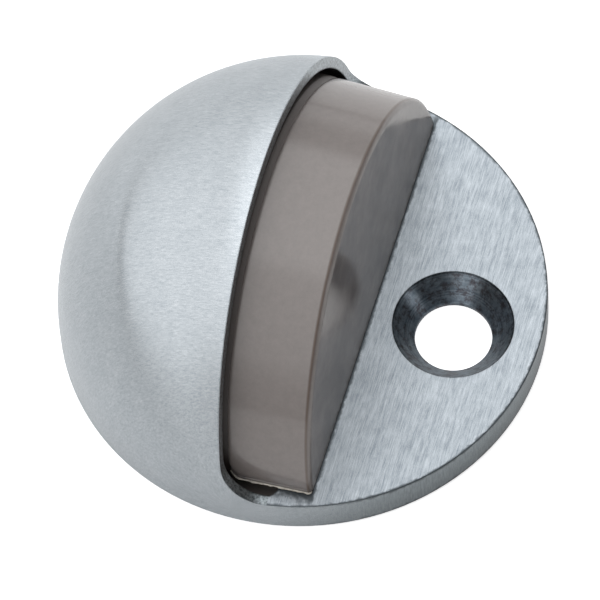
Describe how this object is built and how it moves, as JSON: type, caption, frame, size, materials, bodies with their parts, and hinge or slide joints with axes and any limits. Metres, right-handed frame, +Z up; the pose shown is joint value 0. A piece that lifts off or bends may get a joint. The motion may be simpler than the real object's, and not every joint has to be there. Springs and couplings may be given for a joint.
{
  "type": "dome floor door stop",
  "caption": "Low dome door stop for screwing to a floor: a cast body with a half dome over a round plate, and a moulded rubber bumper in its opening.",
  "frame": {"origin": "centre of the round base, on the face that stands on the floor", "axes": "+Z up out of the floor, -Y towards the door that strikes the bumper, +X to the right when facing +Y"},
  "size_m": [0.0476, 0.0476, 0.0257],
  "materials": {
    "satin_metal": "satin chrome plated casting, brushed with a fine belt",
    "rubber": "moulded warm grey rubber with a soft sheen"
  },
  "bodies": {
    "root": {"dome_body": "satin_metal", "rubber_bumper": "rubber"}
  },
  "joints": []
}
